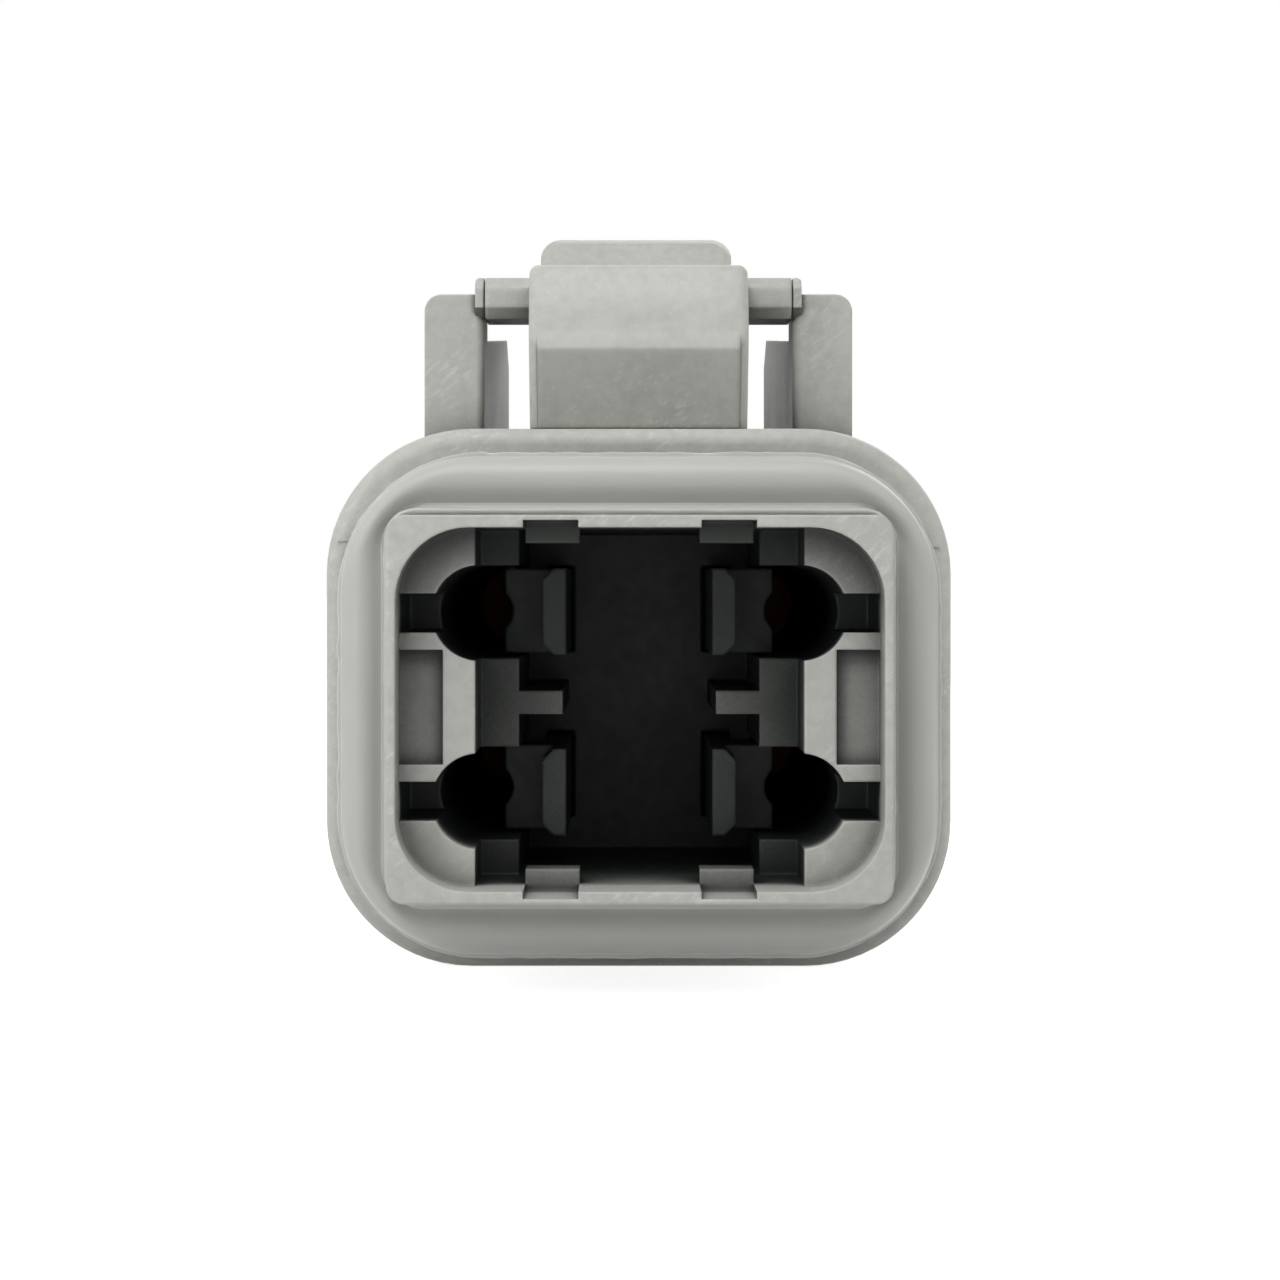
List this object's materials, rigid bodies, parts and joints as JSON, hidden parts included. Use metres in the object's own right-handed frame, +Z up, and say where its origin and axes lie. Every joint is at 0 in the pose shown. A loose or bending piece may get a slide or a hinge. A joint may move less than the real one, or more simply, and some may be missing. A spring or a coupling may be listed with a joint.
{
  "type": "sealed automotive connector plug",
  "caption": "Sealed rectangular wire plug with a rocking side latch, ribbed seals, wire entries in the rear cap and barbed fingers that lock contacts in empty cavities.",
  "frame": {"origin": "under the middle of the part, on the plane that the flange and the rear cap rest on", "axes": "+Y from the mating face to the wires, +Z up to the latch, +X to the right as the mating face is looked at"},
  "size_m": [0.0158, 0.0348, 0.0211],
  "materials": {
    "grey_plastic": "fine spark-eroded texture",
    "grey_silicone": "smooth, slightly satin",
    "ochre_silicone": "smooth, satin"
  },
  "bodies": {
    "plug": {"housing": "grey_plastic", "interface_seal": "grey_silicone", "wire_seal": "ochre_silicone", "seal_retainer": "grey_plastic"},
    "latch_lever": {"latch": "grey_plastic"},
    "finger_upper_left": {"locking_finger_upper_left": "grey_plastic"},
    "finger_upper_right": {"locking_finger_upper_right": "grey_plastic"},
    "finger_lower_left": {"locking_finger_lower_left": "grey_plastic"},
    "finger_lower_right": {"locking_finger_lower_right": "grey_plastic"}
  },
  "joints": [
    {"name": "latch_rock", "type": "hinge", "parent": "plug", "child": "latch_lever", "pos_m": [0, -0.00675, 0.01724], "axis": [-1, 0, 0], "range_deg": [0, 12], "stiffness_Nm_per_rad": 2},
    {"name": "finger_bend_upper_left", "type": "hinge", "parent": "plug", "child": "finger_upper_left", "pos_m": [-0.00208, -0.0061, 0.00904], "axis": [0, 0, 1], "range_deg": [0, 4], "stiffness_Nm_per_rad": 0.35},
    {"name": "finger_bend_upper_right", "type": "hinge", "parent": "plug", "child": "finger_upper_right", "pos_m": [0.00208, -0.0061, 0.00904], "axis": [0, 0, -1], "range_deg": [0, 4], "stiffness_Nm_per_rad": 0.35},
    {"name": "finger_bend_lower_left", "type": "hinge", "parent": "plug", "child": "finger_lower_left", "pos_m": [-0.00208, -0.0061, 0.00462], "axis": [0, 0, 1], "range_deg": [0, 4], "stiffness_Nm_per_rad": 0.35},
    {"name": "finger_bend_lower_right", "type": "hinge", "parent": "plug", "child": "finger_lower_right", "pos_m": [0.00208, -0.0061, 0.00462], "axis": [0, 0, -1], "range_deg": [0, 4], "stiffness_Nm_per_rad": 0.35}
  ]
}
